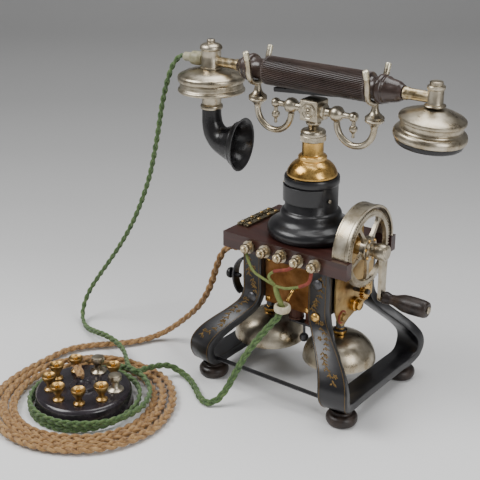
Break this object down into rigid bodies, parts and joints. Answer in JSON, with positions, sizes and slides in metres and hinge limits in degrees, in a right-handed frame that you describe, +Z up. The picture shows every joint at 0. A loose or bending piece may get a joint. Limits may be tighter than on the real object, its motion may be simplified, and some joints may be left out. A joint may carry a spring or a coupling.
{
  "type": "wall crank telephone",
  "caption": "Free-standing crank telephone: handset on a forked cradle, black column, wooden board, magnet legs with gongs, drive gear with crank, corded junction box.",
  "frame": {"origin": "on the floor under the axis of the column, the centre of the telephone without its cords", "axes": "+X towards the crank, -Y towards the terminals at the front, +Z up"},
  "size_m": [0.3981, 0.3249, 0.3052],
  "materials": {
    "japan": "glossy black japanning",
    "nickel": "worn nickel plate, warm grey",
    "brass": "polished brass, lightly tarnished",
    "gilt_brass": "aged lacquered brass",
    "copper": "brown-red copper sheet",
    "mahogany": "dark polished mahogany",
    "dark_wood": "dark stained hardwood",
    "ebonite": "black hard rubber",
    "steel": "dark steel",
    "covered_wire": "silk-covered wire",
    "bone": "cream bone",
    "green_braid": "green plaited cotton",
    "brown_braid": "brown plaited cotton"
  },
  "bodies": {
    "base": {"magnet_right": "japan", "magnet_left": "japan", "tie_rod": "japan", "column": "japan", "column_door": "japan", "ring_nut": "nickel", "wheel_guard": "nickel", "gong_left": "nickel", "gong_right": "nickel", "column_dome": "brass", "terminal_1": "brass", "terminal_2": "brass", "terminal_3": "brass", "terminal_4": "brass", "terminal_5": "brass", "cord_hook": "brass", "side_plate_left": "gilt_brass", "side_plate_right": "gilt_brass", "arrester_outer": "gilt_brass", "arrester_inner": "gilt_brass", "front_cover": "copper", "rear_cover": "copper", "top_board": "mahogany", "foot_front_left": "dark_wood", "foot_front_right": "dark_wood", "foot_rear_left": "dark_wood", "foot_rear_right": "dark_wood", "junction_box": "ebonite", "pole_piece_front": "steel", "pole_piece_rear": "steel", "side_strap": "steel", "ringer_frame": "steel", "ringer_coil_left": "covered_wire", "ringer_coil_right": "covered_wire", "induction_coil": "covered_wire", "cord_ring": "bone", "green_cord_hanging": "green_braid", "green_cord_rising": "green_braid", "green_coil": "green_braid", "brown_cord": "brown_braid", "brown_coil": "brown_braid"},
    "handset": {"handle_grip": "dark_wood", "transmitter_post": "nickel", "receiver_post": "nickel", "transmitter_case": "nickel", "horn": "ebonite", "receiver_case": "nickel", "ear_cap": "ebonite", "cord_bushing": "bone"},
    "cradle": {"cradle_hub": "nickel", "fork_left": "nickel", "fork_right": "nickel"},
    "crank": {"drive_gear": "nickel", "crank_arm": "nickel"},
    "crank_handle": {"crank_handle": "dark_wood"},
    "armature": {"armature": "steel", "pinion": "brass"},
    "clapper": {"clapper": "steel"},
    "talk_lever": {"talk_lever": "ebonite"},
    "side_key": {"side_key": "ebonite"}
  },
  "joints": [
    {"name": "handset_lift", "type": "slide", "parent": "base", "child": "handset", "axis": [0, 0, 1], "range_m": [0, 0.08]},
    {"name": "cradle_rise", "type": "slide", "parent": "base", "child": "cradle", "axis": [0, 0, 1], "range_m": [0, 0.006]},
    {"name": "crank_spin", "type": "hinge", "parent": "base", "child": "crank", "pos_m": [0.06, 0, 0.1444], "axis": [1, 0, 0], "continuous": true},
    {"name": "handle_spin", "type": "hinge", "parent": "crank", "child": "crank_handle", "pos_m": [0.1, 0, 0.103], "axis": [1, 0, 0], "continuous": true},
    {"name": "armature_spin", "type": "hinge", "parent": "base", "child": "armature", "pos_m": [0, 0, 0.1036], "axis": [1, 0, 0], "continuous": true},
    {"name": "clapper_swing", "type": "hinge", "parent": "base", "child": "clapper", "pos_m": [0, -0.006, 0.0573], "axis": [0, 1, 0], "range_deg": [-4, 4]},
    {"name": "talk_lever_press", "type": "hinge", "parent": "handset", "child": "talk_lever", "pos_m": [0.031, 0, 0.2754], "axis": [0, 1, 0], "range_deg": [0, 4], "stiffness_Nm_per_rad": 0.2, "springref_deg": -2.86},
    {"name": "side_key_press", "type": "slide", "parent": "base", "child": "side_key", "axis": [1, 0, 0], "range_m": [0, 0.0025], "stiffness_N_per_m": 150}
  ],
  "couplings": [
    {"joint": "cradle_rise", "follows": "handset_lift", "ratio": 0.075},
    {"joint": "armature_spin", "follows": "crank_spin", "ratio": -5}
  ]
}
